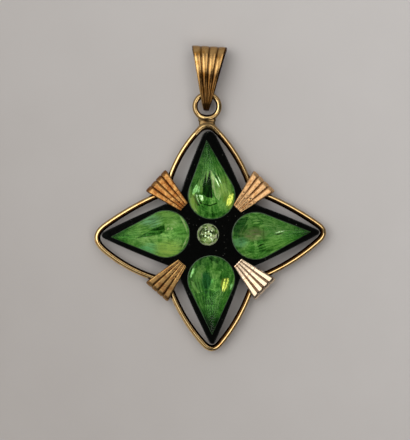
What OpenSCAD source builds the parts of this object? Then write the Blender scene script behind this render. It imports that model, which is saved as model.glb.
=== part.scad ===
// Star pendant with four pear stones, lying face up.
// The star lies in the XY plane with its bail towards +Y, and +Z is the face.
// The origin is the middle of the footprint, on the surface that the pendant lies on.

/* [Wire] */
// Diameter of the wire that the star's outline is bent from
wire_d = 1.02; // [0.9:0.01:1.1]
// Height of the wire's centre above the surface
wire_z = 1.75; // [1.75:0.01:1.85]
// Length that each inner corner's bend takes off its two sides
corner_trim = 1.6; // [1.2:0.1:1.8]

/* [Wire arms: right, top, left, bottom] */
// Direction of each tip, in degrees from +X
tip_dir = [1.6, 91.3, 180.8, 271]; // [0:0.1:360]
// Distance from the star's centre at which the two sides of each tip would meet
tip_reach = [19.3, 18.6, 19.57, 19.25]; // [18.4:0.01:19.8]
// Length that each tip's bend takes off its two sides
tip_trim = [1.9, 1.9, 3.0, 1.9]; // [1.8:0.1:3.1]
// Direction of the inner corner after each tip
corner_dir = [47.5, 135.3, 228, 315]; // [0:0.1:360]
// Reach of the wire's centre at the sharp corner
corner_reach = [10.05, 10.1, 10.25, 10.2]; // [10:0.05:10.4]
// Outward bow of the side from each tip to the next corner
bow_in = [0.55, 1.05, 1.15, 0.85]; // [0.4:0.05:1.2]
// Outward bow of the side from each corner to the next tip
bow_out = [0.9, 0.55, 0.85, 0.8]; // [0.4:0.05:1.2]

/* [Ring] */
// Centre of the ring soldered to the top of the star, from the star's centre
ring_at = [-0.49, 21.17]; // [-1:0.01:22]
// Radius of the ring, to the centre of its wire
ring_r = 1.97; // [1.95:0.01:2.1]
// Diameter of the ring's wire
ring_wire_d = 0.92; // [0.8:0.02:0.96]
// Width of the solder between the ring and the star
solder_w = 2.3; // [1.8:0.1:2.6]
// Thickness of the solder
solder_d = 0.84; // [0.7:0.02:0.9]

/* [Black plate] */
// Thickness of the plate
plate_h = 2.6; // [2.5:0.05:2.6]
// Distance of each arm's tip from the star's centre: right, top, left, bottom
plate_tip = [17.85, 17.05, 17.7, 17.85]; // [17:0.01:18]
// Direction of each arm's tip, in degrees from +X
plate_dir = [1.6, 90.8, 180, 271.2]; // [0:0.1:360]
// Radius that each tip is rounded to
plate_round = [0.5, 1.2, 0.6, 0.5]; // [0.4:0.05:1.3]
// Distance of each inner corner from the star's centre
plate_in = [8.15, 7.9, 7.8, 8]; // [7.6:0.05:8.3]
// Direction of each inner corner
plate_in_dir = [43.5, 130.5, 224.5, 312]; // [0:0.5:360]
// Outward bow of the plate's sides
plate_bow = 0.15; // [0:0.05:0.2]
// Thickness left under the stones' pockets
floor_h = 0.4; // [0.3:0.05:0.45]

/* [Pear stones] */
// Length of a stone
stone_l = 13; // [12.6:0.1:13]
// Width of a stone
stone_w = 7.8; // [7.4:0.1:7.8]
// Height of the table above the middle of the girdle
crown_h = 1.1; // [0.8:0.1:1.4]
// Depth of the pavilion below the middle of the girdle
pavilion_h = 1.95; // [1.5:0.05:2]
// Size of the table, as a share of the outline
table_share = 0.6; // [0.5:0.02:0.66]
// Distance across from the star's centre to the centre of each stone's round head
stone_x = [7.45, 0.26, -7.22, 0.2]; // [-8:0.01:8]
// Distance up from the star's centre to the centre of each stone's round head
stone_y = [-0.1, 6.5, 0.2, -7.22]; // [-8:0.01:8]
// Direction that each stone points in
stone_dir = [4, 95.2, 183.2, 271]; // [0:0.1:360]

/* [Centre stone] */
// Diameter of the round stone
round_d = 3.6; // [3.4:0.1:3.6]
// Height of its table above the middle of the girdle
round_crown_h = 0.6; // [0.4:0.05:0.7]
// Depth of its pavilion below the middle of the girdle
round_pavilion_h = 1.4; // [1:0.05:1.5]
// Size of its table, as a share of the outline
round_table_share = 0.56; // [0.5:0.02:0.6]
// Its centre, from the star's centre
round_at = [-0.33, 0.1]; // [-0.4:0.01:0.4]

/* [Clamps: between right and top, top and left, left and bottom, bottom and right] */
// Width of a clamp at its fold
clamp_w = 4.95; // [4.6:0.05:5.1]
// Width of a clamp at its free ends
clamp_end_w = 1.72; // [1.5:0.02:1.8]
// Length of a clamp from its fold to its free ends
clamp_l = 6.5; // [6.2:0.1:6.6]
// Thickness of the sheet at the ridges
sheet = 0.4; // [0.36:0.02:0.42]
// Depth of the grooves at the fold
groove = 0.18; // [0.1:0.02:0.2]
// Distance of each fold's outer edge from the star's centre
clamp_out = [12.7, 12.76, 12.9, 12.86]; // [12.6:0.01:13]
// Direction of each fold's middle
clamp_dir = [44.9, 134.8, 226.9, 315.5]; // [0:0.1:360]
// Turn of each clamp about its fold's middle
clamp_lean = [0.7, 2.2, 2, 0.2]; // [-3:0.1:3]

/* [Bail] */
// Distance from the hinge to the bail's top
bail_up = 7.93; // [7.6:0.01:8.2]
// Distance from the hinge to the bail's bottom
bail_down = 2.73; // [2.6:0.01:2.76]
// Outer radius of the fold at the top
bail_top_r = 1.9; // [1.8:0.01:2.1]
// Outer radius of the turn at the bottom
bail_low_r = 1.75; // [1.74:0.01:1.76]
// Lean of the front leaf at its ends, in degrees: it swells outward between them
bail_swell = 16; // [8:1:18]
// Half widths of the strip at the bottom, a little above it, at the hinge and at the top
bail_half = [0.42, 0.68, 1.12, 2.9]; // [0.3:0.02:3]
// Thickness of the strip at the ridges
bail_sheet = 0.45; // [0.4:0.01:0.46]
// Depth of the grooves at the top
bail_groove = 0.22; // [0.1:0.02:0.24]
// Lean of the bail about +Z, in degrees
bail_lean = -3.1; // [-4:0.1:0]

/* [Hidden] */
// Arm numbers in the columns above
RIGHT = 0;
TOP = 1;
LEFT = 2;
BOTTOM = 3;
// Gap between pieces that lie on one another, and round a stone in its pocket
gap = 0.03;
pocket_gap = 0.06;
// Height of the plate's back and face
plate_z = wire_z - plate_h / 2;
plate_top = wire_z + plate_h / 2;
// The girdle is the widest band of a stone, and its upper edge is level with the plate's face
girdle_h = 0.2;
girdle_z = plate_top - girdle_h / 2;
pocket_floor = plate_z + floor_h;
// Sides of the swept wire, and steps in its bends and along its sides
wire_sides = 12;
bend_steps = 7;
side_steps = 5;
// Steps round the plate's tips, and round the stones and their pockets
tip_steps = 6;
stone_steps = 14;
pocket_steps = 20;
round_sides = 16;
// Grooved strips have this many ridges, each drawn with this many steps
ridges = 4;
ridge_steps = 4;
// Height of each step of a ridge, as a share of the groove's depth
ridge_form = [0, 0.72, 1, 0.72];

gold = "#c9a063";
black = "#101012";
green = "#4f9a3c";
pale_green = "#b9cf94";

// Point at a distance and direction from the star's centre
function polar(r, a) = r * [cos(a), sin(a)];
function mix(a, b, t) = a + (b - a) * t;
// The right-hand normal of a line that runs from a to b
function right_of(a, b) = let (d = (b - a) / norm(b - a)) [d.y, -d.x];
// Point of a side with an outward bow, and the side's direction there
function bowed(a, b, bow, t) = mix(a, b, t) + right_of(a, b) * bow * 4 * t * (1 - t);
function bowed_dir(a, b, bow, t) = (b - a) + right_of(a, b) * bow * 4 * (1 - 2 * t);
// Where two lines meet, each given by a point and a direction
function meet(p, u, q, v) = p + u * (((q - p).x * v.y - (q - p).y * v.x) / (u.x * v.y - u.y * v.x));
// Smooth bend from a to b that leaves both along their lines to c
function bend(a, c, b, steps) =
    [for (k = [1:steps - 1]) let (t = k / steps) mix(mix(a, c, t), mix(c, b, t), t)];
// Arc of a rounded corner at v, between the neighbours p and n
function rounded(p, v, n, r, steps) =
    let (u = (p - v) / norm(p - v), w = (n - v) / norm(n - v), half = acos(u * w) / 2,
        axis = (u + w) / norm(u + w), c = v + axis * r / sin(half), start = v + u * r / tan(half) - c,
        sweep = (180 - 2 * half) * sign(u.x * w.y - u.y * w.x) * -1)
    [for (k = [0:steps]) let (a = sweep * k / steps)
        c + [start.x * cos(a) - start.y * sin(a), start.x * sin(a) + start.y * cos(a)]];

// The star of wire: tips and corners in turn, with the bow of the side after each
wire_points = [for (k = [0:3]) each [
    polar(tip_reach[k], tip_dir[k]),
    polar(corner_reach[k], corner_dir[k])]];
wire_trims = [for (k = [0:3]) each [tip_trim[k], corner_trim]];
wire_bows = [for (k = [0:3]) each [bow_in[k], bow_out[k]]];
function wire_side(i) =
    let (a = wire_points[i], b = wire_points[(i + 1) % 8], l = norm(b - a),
        t0 = wire_trims[i] / l, t1 = 1 - wire_trims[(i + 1) % 8] / l)
    [for (j = [0:side_steps]) bowed(a, b, wire_bows[i], mix(t0, t1, j / side_steps))];
function wire_bend(i) =
    let (j = (i + 1) % 8, k = (i + 2) % 8, a = wire_points[i], b = wire_points[j], c = wire_points[k],
        t = 1 - wire_trims[j] / norm(b - a), s = wire_trims[j] / norm(c - b),
        p = bowed(a, b, wire_bows[i], t), q = bowed(b, c, wire_bows[j], s))
    bend(p, meet(p, bowed_dir(a, b, wire_bows[i], t), q, bowed_dir(b, c, wire_bows[j], s)), q, bend_steps);
wire_path = [for (i = [0:7]) each concat(wire_side(i), wire_bend(i))];

// The footprint's edges from the star's centre, whose middle is put at the origin
left_edge = min([for (p = wire_path) p.x]) - wire_d / 2;
right_edge = max([for (p = wire_path) p.x]) + wire_d / 2;
low_edge = min([for (p = wire_path) p.y]) - wire_d / 2;
wire_top = max([for (p = wire_path) p.y]) + wire_d / 2;
// The outer ridge of the bail's fold is its highest point, because the bail leans
high_edge = ring_at.y + ring_r + bail_up * cos(bail_lean)
    - bail_half[3] * (1 - 1 / ridges) * sin(bail_lean);
star_at = [-(left_edge + right_edge) / 2, -(low_edge + high_edge) / 2];

// A round wire swept along a closed flat path
module swept_wire(path, d, sides) {
    n = len(path);
    points = [for (i = [0:n - 1]) let (out = right_of(path[(i + n - 1) % n], path[(i + 1) % n]))
        for (k = [0:sides - 1]) let (a = 360 * k / sides)
            [path[i].x + out.x * cos(a) * d / 2, path[i].y + out.y * cos(a) * d / 2, sin(a) * d / 2]];
    faces = [for (i = [0:n - 1], k = [0:sides - 1])
        let (j = (i + 1) % n, m = (k + 1) % sides, a = i * sides + k, b = i * sides + m,
            c = j * sides + m, e = j * sides + k)
        each [[a, b, e], [b, c, e]]];
    polyhedron(points, faces);
}

module frame() {
    color(gold) translate([star_at.x, star_at.y, wire_z]) {
        swept_wire(wire_path, wire_d, wire_sides);
        translate(ring_at) rotate_extrude($fn = 48) translate([ring_r, 0]) circle(d = ring_wire_d, $fn = 24);
        solder();
    }
}

// Solder bridge between the top of the star and the ring
module solder() {
    ring_low = ring_at.y - ring_r - ring_wire_d / 2;
    translate([ring_at.x - (solder_w - solder_d) / 2, (wire_top + ring_low) / 2, 0]) {
        rotate([0, 90, 0]) cylinder(h = solder_w - solder_d, d = solder_d, $fn = 24);
        sphere(d = solder_d, $fn = 24);
        translate([solder_w - solder_d, 0, 0]) sphere(d = solder_d, $fn = 24);
    }
}

// Outline of the black plate: straight tips rounded, long sides slightly bowed
tip_half = 22.5;
function plate_vertex(k) =
    polar(plate_tip[k] + plate_round[k] * (1 / sin(tip_half) - 1), plate_dir[k]);
function plate_corner(k) = polar(plate_in[k], plate_in_dir[k]);
plate_outline = [for (k = [0:3])
    let (before = plate_corner((k + 3) % 4), tip = plate_vertex(k), after = plate_corner(k),
        arc = rounded(before, tip, after, plate_round[k], tip_steps))
    each concat(
        [for (j = [0:3]) bowed(before, arc[0], plate_bow, j / 4)],
        arc,
        [for (j = [1:3]) bowed(arc[tip_steps], after, plate_bow, j / 4)])];

// Outline of a pear stone that points along +X, with its head's centre at the origin
function pear_outline(steps, grow) =
    let (r = stone_w / 2, tip = stone_l - r, half = acos(r / tip))
    concat([for (k = [0:steps]) polar(r + grow, half + (360 - 2 * half) * k / steps)],
        [[tip + grow * tip / r, 0]]);

module at_stone(k) {
    translate([star_at.x + stone_x[k], star_at.y + stone_y[k], 0]) rotate(stone_dir[k]) children();
}

module star_plate() {
    color(black) difference() {
        translate([star_at.x, star_at.y, plate_z]) linear_extrude(plate_h) polygon(plate_outline);
        for (k = [0:3])
            translate([0, 0, pocket_floor]) at_stone(k)
                linear_extrude(plate_h) polygon(pear_outline(pocket_steps, pocket_gap));
        translate([star_at.x + round_at.x, star_at.y + round_at.y, pocket_floor])
            cylinder(h = plate_h, d = round_d + 2 * pocket_gap, $fn = 32);
    }
}

// A cut stone from its girdle outline: crown up to the table, pavilion down to one point
module cut_stone(girdle, share, crown, pavilion, tint) {
    n = len(girdle);
    m = n / 2;
    points = concat(
        [for (p = girdle) [p.x, p.y, girdle_h / 2]],
        [for (p = girdle) [p.x, p.y, -girdle_h / 2]],
        [for (k = [0:m - 1]) let (p = (girdle[2 * k] + girdle[2 * k + 1]) / 2 * share) [p.x, p.y, crown]],
        [[0, 0, -pavilion]]);
    crown_faces = [for (k = [0:m - 1]) let (a = 2 * k, b = a + 1, c = (a + 2) % n, t = 2 * n + k,
            u = 2 * n + (k + 1) % m)
        each [[a, t, b], [b, t, u], [b, u, c]]];
    girdle_faces = [for (k = [0:n - 1]) let (j = (k + 1) % n) each [[k, j, n + k], [j, n + j, n + k]]];
    pavilion_faces = [for (k = [0:n - 1]) [n + k, n + (k + 1) % n, 2 * n + m]];
    table = [[for (k = [m - 1:-1:0]) 2 * n + k]];
    color(tint) polyhedron(points, concat(crown_faces, girdle_faces, pavilion_faces, table));
}

module pear_stone(k) {
    translate([0, 0, girdle_z]) at_stone(k)
        cut_stone(pear_outline(stone_steps, 0), table_share, crown_h, pavilion_h, green);
}

module stone_right() { pear_stone(RIGHT); }
module stone_top() { pear_stone(TOP); }
module stone_left() { pear_stone(LEFT); }
module stone_bottom() { pear_stone(BOTTOM); }

module centre_stone() {
    outline = [for (k = [0:round_sides - 1]) polar(round_d / 2, 360 * k / round_sides)];
    translate([star_at.x + round_at.x, star_at.y + round_at.y, girdle_z])
        cut_stone(outline, round_table_share, round_crown_h, round_pavilion_h, pale_green);
}

// A grooved strip: each row is a station with its inner point, its outward
// direction in the XZ plane, its half width across Y and its groove depth
function strip_section(p, out, half, thick, depth) =
    let (steps = ridges * ridge_steps)
    concat(
        [for (j = [0:steps]) let (h = thick - depth * (1 - ridge_form[j % ridge_steps]))
            [p.x + out.x * h, half * (2 * j / steps - 1), p.y + out.y * h]],
        [[p.x, half, p.y], [p.x, -half, p.y]]);
module grooved_strip(stations, thick, closed) {
    n = len(stations);
    sections = [for (s = stations) strip_section(s[0], s[1], s[2], thick, s[3])];
    m = len(sections[0]);
    points = [for (s = sections) each s];
    last = closed ? n - 1 : n - 2;
    sides = [for (i = [0:last], k = [0:m - 1])
        let (j = (i + 1) % n, l = (k + 1) % m, a = i * m + k, b = i * m + l, c = j * m + l, e = j * m + k)
        each [[a, b, e], [b, c, e]]];
    cap = [for (j = [0:m - 4]) [j < (m - 3) / 2 ? m - 1 : m - 2, j, j + 1], [m - 1, (m - 3) / 2, m - 2]];
    ends = closed ? [] : concat([for (f = cap) [f[2], f[1], f[0]]],
        [for (f = cap) [for (v = f) v + (n - 1) * m]]);
    polyhedron(points, concat(sides, ends));
}

// Stations of a clamp, in its own frame: the fold's outer edge is at x = 0 and
// the leaves run towards -X, the front one above the plate and the back one below
fold_r = wire_d / 2 + 0.1;
leaf_z = plate_h / 2 + gap;
// Where the leaves leave the plate, from the fold's outer edge
plate_edge_x = -3.75;
fold_x = -(fold_r + sheet);
leaf_slope = atan((leaf_z - fold_r) / (fold_x - plate_edge_x));
function clamp_half(x) = mix(clamp_w, clamp_end_w, -x / clamp_l) / 2;
function clamp_station(x, z, a) =
    let (half = clamp_half(x)) [[x, z], [cos(a), sin(a)], half, groove * half * 2 / clamp_w];
front_leaf = [
    clamp_station(-clamp_l, leaf_z, 90),
    clamp_station(plate_edge_x, leaf_z, 90 - leaf_slope / 2),
    clamp_station(mix(plate_edge_x, fold_x, 0.5), mix(leaf_z, fold_r, 0.5), 90 - leaf_slope)];
clamp_fold = [for (k = [0:8]) let (a = (90 - leaf_slope) * (1 - k / 4))
    clamp_station(fold_x + fold_r * cos(a), fold_r * sin(a), a)];
clamp_stations = concat(front_leaf, clamp_fold,
    [for (k = [2:-1:0]) let (s = front_leaf[k]) [[s[0].x, -s[0].y], [s[1].x, -s[1].y], s[2], s[3]]]);

module clamp(k) {
    place = polar(clamp_out[k], clamp_dir[k]);
    color(gold) translate([star_at.x + place.x, star_at.y + place.y, wire_z])
        rotate(clamp_dir[k] + clamp_lean[k]) grooved_strip(clamp_stations, sheet, false);
}

module clamp_upper_right() { clamp(RIGHT); }
module clamp_upper_left() { clamp(TOP); }
module clamp_lower_left() { clamp(LEFT); }
module clamp_lower_right() { clamp(BOTTOM); }

// Stations of the bail, in its own frame: the hinge is at the origin, +X runs up
// to the fold and the back leaf lies along the surface
low_c = [bail_low_r - bail_down, 0];
top_c = [bail_up - bail_top_r, bail_top_r - bail_low_r];
between = top_c - low_c;
rise = atan(between.y / between.x);
front_a = rise + 90 + asin((bail_top_r - bail_low_r) / norm(between));
// Half width of the strip at a distance up from the hinge
function bail_half_at(x) = lookup(x, [
    [-bail_down, bail_half[0]],
    [-bail_down * 0.68, bail_half[1]],
    [0, bail_half[2]],
    [bail_up, bail_half[3]]]);
function bail_station(c, r, a) =
    let (p = c + polar(r - bail_sheet, a), half = bail_half_at(c.x + r * cos(a)))
    [p, [cos(a), sin(a)], half, bail_groove * half / bail_half[3]];
low_turn = [for (k = [0:10])
    bail_station(low_c, bail_low_r, mix(-90, front_a + bail_swell - 360, k / 10))];
top_turn = [for (k = [0:10])
    bail_station(top_c, bail_top_r, mix(front_a - bail_swell, -90, k / 10))];
// Stations between two ends, which swell towards a by a parabola that leans by swell at its ends
function leaf_between(s, e, n, a, swell) = [for (k = [1:n - 1])
    let (t = k / n, out = a + atan(tan(swell) * (1 - 2 * t)),
        p = mix(s, e, t) + polar(norm(e - s) * tan(swell) * t * (1 - t), a),
        half = bail_half_at(p.x + cos(out) * bail_sheet))
    [p, [cos(out), sin(out)], half, bail_groove * half / bail_half[3]]];
bail_stations = concat(
    low_turn, leaf_between(low_turn[10][0], top_turn[0][0], 6, front_a, bail_swell),
    top_turn, leaf_between(top_turn[10][0], low_turn[0][0], 4, -90, 0));

module bail() {
    color(gold) translate([star_at.x + ring_at.x, star_at.y + ring_at.y + ring_r, wire_z])
        rotate(90 + bail_lean) grooved_strip(bail_stations, bail_sheet, true);
}

frame();
star_plate();
stone_right();
stone_top();
stone_left();
stone_bottom();
centre_stone();
clamp_upper_right();
clamp_upper_left();
clamp_lower_left();
clamp_lower_right();
bail();
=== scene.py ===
"""The finish of a star pendant with four pear stones, lying face up on a pale floor."""
import math
import random

import bmesh
import bpy
from mathutils import Matrix, Vector
from mathutils.geometry import delaunay_2d_cdt


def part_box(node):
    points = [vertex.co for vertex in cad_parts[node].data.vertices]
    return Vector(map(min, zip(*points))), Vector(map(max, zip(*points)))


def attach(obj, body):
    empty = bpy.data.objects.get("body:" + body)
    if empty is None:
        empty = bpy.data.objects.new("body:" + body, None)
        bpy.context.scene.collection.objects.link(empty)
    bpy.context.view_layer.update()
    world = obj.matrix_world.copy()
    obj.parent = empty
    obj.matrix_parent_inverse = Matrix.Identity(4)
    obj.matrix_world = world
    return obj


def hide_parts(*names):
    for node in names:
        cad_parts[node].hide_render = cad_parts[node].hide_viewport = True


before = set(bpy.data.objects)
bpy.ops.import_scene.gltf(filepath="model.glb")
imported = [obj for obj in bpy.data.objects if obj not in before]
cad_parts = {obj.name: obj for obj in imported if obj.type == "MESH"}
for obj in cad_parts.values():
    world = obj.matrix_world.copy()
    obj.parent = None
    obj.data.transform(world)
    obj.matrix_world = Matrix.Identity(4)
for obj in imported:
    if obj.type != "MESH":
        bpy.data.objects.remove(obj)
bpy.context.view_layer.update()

MM = 0.001


def box_mm(node):
    """Lowest and highest corner of a solid, in millimetres."""
    low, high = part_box(node)
    return low / MM, high / MM


def linear(hex_colour):
    """An sRGB hex colour as the linear colour that a socket takes."""
    channels = [int(hex_colour[k:k + 2], 16) / 255 for k in (1, 3, 5)]
    return [c / 12.92 if c <= 0.04045 else ((c + 0.055) / 1.055) ** 2.4 for c in channels] + [1.0]


# Sizes are in millimetres and directions in degrees from +X. A value with four numbers has them for
# the right, top, left and bottom arm, or for the corners that follow these arms.

# The wire star: its tips, its inner corners, how far each bend starts before them, and its bowed sides
TIP_DIR = (1.6, 91.3, 180.8, 271)
TIP_REACH = (19.3, 18.6, 19.57, 19.25)
TIP_TRIM = (1.9, 1.9, 3.0, 1.9)
CORNER_DIR = (47.5, 135.3, 228, 315)
CORNER_REACH = (10.05, 10.1, 10.25, 10.2)
CORNER_TRIM = 1.6
BOW_IN = (0.55, 1.05, 1.15, 0.85)
BOW_OUT = (0.9, 0.55, 0.85, 0.8)
WIRE_R = 0.51
SIDE_STEPS = 20
BEND_STEPS = 14
WIRE_SIDES = 28
# Painted shade on the wire starts at this share of its radius and is full this much further in. It
# is left off the wire's outer side where that faces this way, so the outer side stays bright there.
SIDE_SHADE_FROM = 0.22
SIDE_SHADE_FADE = 0.5
UNSHADED_SIDE_DIR = 228

# The ring and the solder. A rod of solder has its height above the middle of the joint, and its
# width as a share of the joint's. A skin of solder covers some steps of the wire each side of its top,
# and thin solder has crept along the metal, across and up from the joint.
RING_AT = Vector((-0.49, 21.17))
RING_R = 1.97
RING_WIRE_R = 0.46
RING_STEPS = 64
RING_SIDES = 24
SOLDER_W = 2.5
SOLDER_R = 0.42
SOLDER_RODS = ((-0.25, 1.1), (0.0, 1.0), (0.3, 1.2))
SOLDER_SKIN = 0.012
SOLDER_TARNISH = 0.7
ROD_STEPS = 16
ROD_SIDES = 20
SKIN_STEPS = 9
CREEP = 0.12
CREEP_ACROSS = 1.35
CREEP_UP = 1.2
FUSE_VOXEL = 0.07

# The black plate: the tips and inner corners of its arms, its softened edge and its pockets
PLATE_TIP = (17.85, 17.05, 17.7, 17.85)
PLATE_DIR = (1.6, 90.8, 180, 271.2)
PLATE_ROUND = (0.5, 1.2, 0.6, 0.5)
PLATE_IN = (8.15, 7.9, 7.8, 8)
PLATE_IN_DIR = (43.5, 130.5, 224.5, 312)
PLATE_BOW = 0.15
PLATE_EDGE = 0.11
PLATE_SIDE_STEPS = 8
PLATE_TIP_STEPS = 12
TIP_HALF = 22.5
POCKET_GAP = 0.06
POCKET_FLOOR = 0.4
POCKET_STEPS = 40

# The stones: a table is a share of the stone, and the ground edge lies along the top of the girdle
STONE_L = 13.0
STONE_W = 7.8
STONE_AT = ((7.45, -0.1), (0.26, 6.5), (-7.22, 0.2), (0.2, -7.22))
STONE_DIR = (4, 95.2, 183.2, 271)
PEAR_STEPS = 26
PEAR_TABLE = 0.6
GIRDLE = 0.2
GROUND_EDGE = 0.12
ROUND_D = 3.6
ROUND_AT = Vector((-0.33, 0.1))
ROUND_STEPS = 24
ROUND_TABLE = 0.56
GLASS_IOR = 1.52

# The clamps: x runs out along a clamp to its fold, whose outer edge is at 0
CLAMP_W = 4.95
CLAMP_END_W = 1.72
CLAMP_L = 6.5
CLAMP_OUT = (12.7, 12.76, 12.9, 12.86)
CLAMP_DIR = (44.9, 134.8, 226.9, 315.5)
CLAMP_LEAN = (0.7, 2.2, 2, 0.2)
SHEET = 0.4
GROOVE = 0.18
CLAMP_LIFT = 0.25
CLAMP_RIM = 0.07
CLAMP_BEND = 0.5
WIRE_GAP = 0.1
PLATE_EDGE_X = -3.75
GAP = 0.03

# The bail: x runs up from the middle of the ring's wire at its top, and its half width is given at
# four heights
BAIL_UP = 7.93
BAIL_DOWN = 2.73
BAIL_TOP_R = 1.9
BAIL_LOW_R = 1.75
BAIL_SWELL = 16
BAIL_HALF = ((-BAIL_DOWN, 0.42), (-BAIL_DOWN * 0.68, 0.68), (0, 1.12), (BAIL_UP, 2.9))
BAIL_WIDEST = BAIL_HALF[-1][1]
BAIL_SHEET = 0.45
BAIL_GROOVE = 0.22
BAIL_FOLD_X = 6.2
BAIL_LEAN = -3.1
RIDGES = 4
RIDGE_STEPS = 12

# The window, as the azimuth and the lean from the vertical of its middle
WINDOW = (158, 29)

# How large the photograph is, and where it has the star's centre, in its pixels
PICTURE = (410, 440)
STAR_PIXEL = (210.0, 235.1)
PIXELS_PER_MM = 6.08

# Places read from the solids
plate_low, plate_high = box_mm("star_plate")
frame_low, frame_high = box_mm("frame")
round_low, round_high = box_mm("centre_stone")
stone_low, stone_high = box_mm("stone_top")
WIRE_Z = (frame_low.z + frame_high.z) / 2
PLATE_H = plate_high.z - plate_low.z
GIRDLE_Z = plate_high.z - GIRDLE / 2
PEAR_CROWN = stone_high.z - GIRDLE_Z
STAR_AT = ((round_low + round_high) / 2).to_2d() - ROUND_AT


# Shapes

def held(value):
    """A value kept between 0 and 1."""
    return min(1.0, max(0.0, value))


def polar(radius, degrees):
    angle = math.radians(degrees)
    return Vector((radius * math.cos(angle), radius * math.sin(angle)))


def unit(angle):
    """The direction at an angle in radians."""
    return Vector((math.cos(angle), math.sin(angle)))


def way_to(azimuth, lean):
    """The direction of a light, from its azimuth and its lean from the vertical in degrees."""
    flat = polar(math.sin(math.radians(lean)), azimuth)
    return Vector((flat.x, flat.y, math.cos(math.radians(lean))))


def middle_of(corners):
    return sum(corners, Vector((0.0, 0.0))) / len(corners)


def right_of(a, b):
    """The flat direction to the right of the way from a to b."""
    along = (b - a).normalized()
    return Vector((along.y, -along.x))


def bowed(a, b, bow, t):
    """Point of a side that bows outward."""
    return a.lerp(b, t) + right_of(a, b) * bow * 4 * t * (1 - t)


def bowed_direction(a, b, bow, t):
    """The way along a bowed side at a point of it."""
    return (b - a) + right_of(a, b) * bow * 4 * (1 - 2 * t)


def crossing(p, u, q, v):
    """Where the line through p along u meets the line through q along v."""
    w = q - p
    return p + u * (w.x * v.y - w.y * v.x) / (u.x * v.y - u.y * v.x)


def wire_path():
    """The closed line of the wire's centre: four bowed arms with a bend at each tip and corner."""
    corners, trims, bows = [], [], []
    for k in range(4):
        corners += [polar(TIP_REACH[k], TIP_DIR[k]), polar(CORNER_REACH[k], CORNER_DIR[k])]
        trims += [TIP_TRIM[k], CORNER_TRIM]
        bows += [BOW_IN[k], BOW_OUT[k]]
    path = []
    for i in range(8):
        j, k = (i + 1) % 8, (i + 2) % 8
        a, b, c = corners[i], corners[j], corners[k]
        start, end = trims[i] / (b - a).length, 1 - trims[j] / (b - a).length
        for s in range(SIDE_STEPS + 1):
            path.append(bowed(a, b, bows[i], start + (end - start) * s / SIDE_STEPS))
        leave = trims[j] / (c - b).length
        p, q = bowed(a, b, bows[i], end), bowed(b, c, bows[j], leave)
        u, v = bowed_direction(a, b, bows[i], end), bowed_direction(b, c, bows[j], leave)
        m = crossing(p, u, q, v)
        for s in range(1, BEND_STEPS):
            t = s / BEND_STEPS
            path.append(p.lerp(m, t).lerp(m.lerp(q, t), t))
    return path


def tube_along(path, radii, sides, closed=True):
    """Points and faces of a round rod along a flat path, with a radius for each point of the path."""
    points, faces, n = [], [], len(path)
    for i, p in enumerate(path):
        before = path[i - 1] if closed or i else p
        after = path[(i + 1) % n] if closed or i < n - 1 else p
        out = right_of(before, after)
        for k in range(sides):
            angle = math.tau * k / sides
            flat = p + out * math.cos(angle) * radii[i]
            points.append(Vector((flat.x, flat.y, math.sin(angle) * radii[i])))
    for i in range(n if closed else n - 1):
        for k in range(sides):
            j, m = (i + 1) % n, (k + 1) % sides
            faces.append((i * sides + k, j * sides + k, j * sides + m, i * sides + m))
    if not closed:
        faces.append(tuple(range(sides)))
        faces.append(tuple(reversed(range((n - 1) * sides, n * sides))))
    return points, faces


def rounded_corner(before, tip, after, radius, steps):
    """The arc that rounds a corner, from the side to before to the side to after."""
    u, w = (before - tip).normalized(), (after - tip).normalized()
    half = math.acos(u.dot(w)) / 2
    centre = tip + (u + w).normalized() * radius / math.sin(half)
    start = tip + u * radius / math.tan(half) - centre
    sweep = -(math.pi - 2 * half) * math.copysign(1, u.x * w.y - u.y * w.x)
    arc = []
    for k in range(steps + 1):
        a = sweep * k / steps
        arc.append(centre + Vector((start.x * math.cos(a) - start.y * math.sin(a),
                                    start.x * math.sin(a) + start.y * math.cos(a))))
    return arc


def plate_outline():
    """The star plate from above. An arm's sides would meet past its tip, which is rounded back to
    its reach."""
    steps = PLATE_SIDE_STEPS
    outline = []
    for k in range(4):
        before = polar(PLATE_IN[k - 1], PLATE_IN_DIR[k - 1])
        after = polar(PLATE_IN[k], PLATE_IN_DIR[k])
        reach = PLATE_TIP[k] + PLATE_ROUND[k] * (1 / math.sin(math.radians(TIP_HALF)) - 1)
        arc = rounded_corner(before, polar(reach, PLATE_DIR[k]), after, PLATE_ROUND[k], PLATE_TIP_STEPS)
        outline += [bowed(before, arc[0], PLATE_BOW, s / steps) for s in range(steps)]
        outline += arc
        outline += [bowed(arc[-1], after, PLATE_BOW, s / steps) for s in range(1, steps)]
    return outline


def pear_outline(steps, grow=0.0):
    """A pear that points along +X, with the centre of its round head at the origin."""
    radius = STONE_W / 2
    tip = STONE_L - radius
    half = math.degrees(math.acos(radius / tip))
    arc = [polar(radius + grow, half + (360 - 2 * half) * k / steps) for k in range(steps + 1)]
    return arc + [Vector((tip + grow * tip / radius, 0))]


def turned(points, degrees, place, height=0.0):
    """Points turned about +Z and moved to their place."""
    matrix = Matrix.Translation((place[0], place[1], height)) @ Matrix.Rotation(math.radians(degrees), 4, "Z")
    return [matrix @ Vector((p[0], p[1], p[2] if len(p) > 2 else 0.0)) for p in points]


def prism(outline, low, high):
    n = len(outline)
    points = [Vector((p.x, p.y, z)) for z in (low, high) for p in outline]
    faces = [(k, (k + 1) % n, n + (k + 1) % n, n + k) for k in range(n)]
    return points, faces + [tuple(reversed(range(n))), tuple(range(n, 2 * n))]


def joined(solids):
    """The points and faces of several solids in one list of each."""
    points, faces = [], []
    for more, more_faces in solids:
        faces += [tuple(v + len(points) for v in face) for face in more_faces]
        points += more
    return points, faces


# Pieces

def in_scene(name, data):
    """A new object in the scene, from its mesh, light or camera."""
    obj = bpy.data.objects.new(name, data)
    bpy.context.scene.collection.objects.link(obj)
    return obj


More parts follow.
